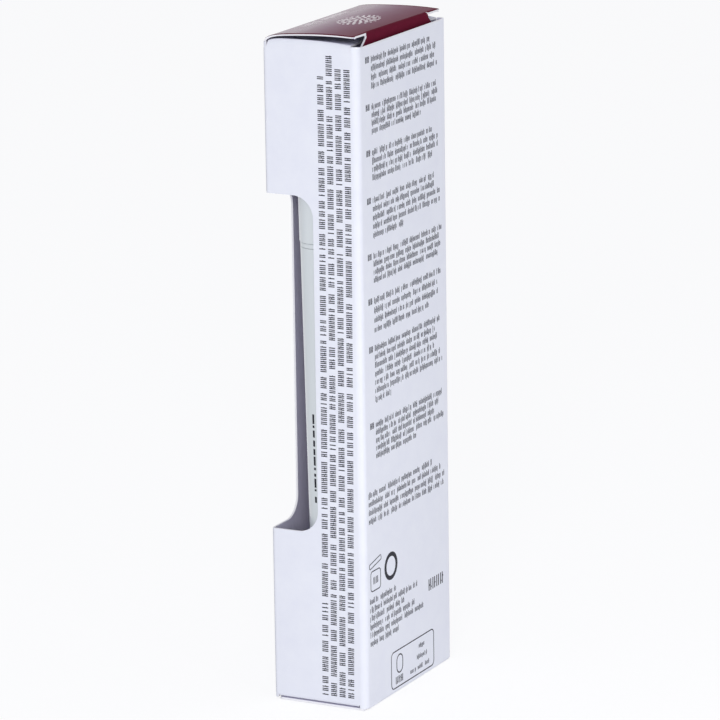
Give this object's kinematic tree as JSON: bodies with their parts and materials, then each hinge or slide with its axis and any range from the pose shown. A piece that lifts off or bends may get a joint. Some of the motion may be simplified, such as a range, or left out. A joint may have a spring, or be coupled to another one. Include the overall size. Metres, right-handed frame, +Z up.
{
  "type": "nail care pen in its folding carton",
  "caption": "Slim windowed paperboard carton with a hinged burgundy lid, holding a white twist-up nail care pen that dispenses balm through a slanted tip under a long cap.",
  "frame": {"origin": "on the ground under the middle of the carton", "axes": "+Z up, -Y out of the wide front panel, +X out of the narrow panel that shares the window with it"},
  "size_m": [0.043, 0.0232, 0.1519],
  "materials": {
    "board_white": "coated white folding board, satin",
    "board_burgundy": "folding board printed deep burgundy, satin varnish",
    "pen_white_plastic": "gloss moulded white plastic",
    "natural_plastic": "natural milky plastic",
    "grey_plastic": "moulded grey plastic",
    "seal_rubber": "matt black rubber",
    "soft_tip_rubber": "soft satin rubber",
    "care_balm": "soft golden balm"
  },
  "bodies": {
    "carton": {"front_panel": "board_white", "back_panel": "board_white", "window_side_panel": "board_white", "plain_side_panel": "board_white", "glue_flap": "board_white"},
    "top_lid": {"top_lid_panel": "board_burgundy"},
    "top_tuck": {"top_tuck_flap": "board_burgundy"},
    "top_dust_window_side": {"top_dust_flap_window_side": "board_white"},
    "top_dust_plain_side": {"top_dust_flap_plain_side": "board_white"},
    "bottom_lid": {"bottom_lid_panel": "board_white"},
    "bottom_tuck": {"bottom_tuck_flap": "board_white"},
    "bottom_dust_window_side": {"bottom_dust_flap_window_side": "board_white"},
    "bottom_dust_plain_side": {"bottom_dust_flap_plain_side": "board_white"},
    "pen": {"barrel": "pen_white_plastic", "collar_ring": "pen_white_plastic", "nozzle_holder": "natural_plastic", "applicator_tip": "soft_tip_rubber", "ratchet_ring": "grey_plastic", "screw_nut": "grey_plastic", "balm_fill": "care_balm"},
    "cap": {"cap_shell": "pen_white_plastic", "inner_cap": "natural_plastic", "cap_seal": "seal_rubber"},
    "knob": {"twist_knob": "pen_white_plastic", "knob_end_plug": "pen_white_plastic", "drive_sleeve": "natural_plastic", "click_ring": "grey_plastic"},
    "screw": {"lead_screw": "grey_plastic"},
    "piston": {"piston": "natural_plastic", "piston_ring": "seal_rubber"}
  },
  "joints": [
    {"name": "top_lid_open", "type": "hinge", "parent": "carton", "child": "top_lid", "pos_m": [0, -0.0116, 0.15], "axis": [1, 0, 0], "range_deg": [-4, 115]},
    {"name": "top_tuck_fold", "type": "hinge", "parent": "top_lid", "child": "top_tuck", "pos_m": [0, 0.01016, 0.15145], "axis": [1, 0, 0], "range_deg": [-60, 2.2]},
    {"name": "top_dust_window_side_open", "type": "hinge", "parent": "carton", "child": "top_dust_window_side", "pos_m": [0.0215, 0, 0.14925], "axis": [0, 1, 0], "range_deg": [-1.9, 52]},
    {"name": "top_dust_plain_side_open", "type": "hinge", "parent": "carton", "child": "top_dust_plain_side", "pos_m": [-0.0215, 0, 0.14925], "axis": [0, -1, 0], "range_deg": [-1.9, 52]},
    {"name": "bottom_lid_open", "type": "hinge", "parent": "carton", "child": "bottom_lid", "pos_m": [0, 0.0116, 0], "axis": [1, 0, 0], "range_deg": [0, 110]},
    {"name": "bottom_tuck_fold", "type": "hinge", "parent": "bottom_lid", "child": "bottom_tuck", "pos_m": [0, -0.0102, 0.00045], "axis": [1, 0, 0], "range_deg": [-57.5, 0]},
    {"name": "bottom_dust_window_side_open", "type": "hinge", "parent": "carton", "child": "bottom_dust_window_side", "pos_m": [0.0215, 0, 0.00075], "axis": [0, -1, 0], "range_deg": [0, 50]},
    {"name": "bottom_dust_plain_side_open", "type": "hinge", "parent": "carton", "child": "bottom_dust_plain_side", "pos_m": [-0.0215, 0, 0.00075], "axis": [0, 1, 0], "range_deg": [0, 50]},
    {"name": "pen_lift", "type": "slide", "parent": "carton", "child": "pen", "axis": [0, -0.0175, 0.9998], "range_m": [0, 0.0042]},
    {"name": "cap_pull", "type": "slide", "parent": "pen", "child": "cap", "axis": [0, -0.0175, 0.9998], "range_m": [0, 0.0042]},
    {"name": "knob_twist", "type": "hinge", "parent": "pen", "child": "knob", "pos_m": [0.01525, 0.0014, 0.00159], "axis": [0, -0.0175, 0.9998], "range_deg": [0, 4050]},
    {"name": "screw_advance", "type": "slide", "parent": "knob", "child": "screw", "axis": [0, -0.0175, 0.9998], "range_m": [0, 0.03376]},
    {"name": "piston_advance", "type": "slide", "parent": "pen", "child": "piston", "axis": [0, -0.0175, 0.9998], "range_m": [0, 0.03374], "deforming": ["balm_fill"]}
  ],
  "couplings": [
    {"joint": "top_tuck_fold", "follows": "top_lid_open", "ratio": -0.52},
    {"joint": "top_dust_window_side_open", "follows": "top_lid_open", "ratio": 0.45},
    {"joint": "top_dust_plain_side_open", "follows": "top_lid_open", "ratio": 0.45},
    {"joint": "bottom_tuck_fold", "follows": "bottom_lid_open", "ratio": -0.52},
    {"joint": "bottom_dust_window_side_open", "follows": "bottom_lid_open", "ratio": 0.45},
    {"joint": "bottom_dust_plain_side_open", "follows": "bottom_lid_open", "ratio": 0.45},
    {"joint": "screw_advance", "follows": "piston_advance", "ratio": 1},
    {"joint": "knob_twist", "follows": "piston_advance", "rad_per_m": 2094.4}
  ]
}
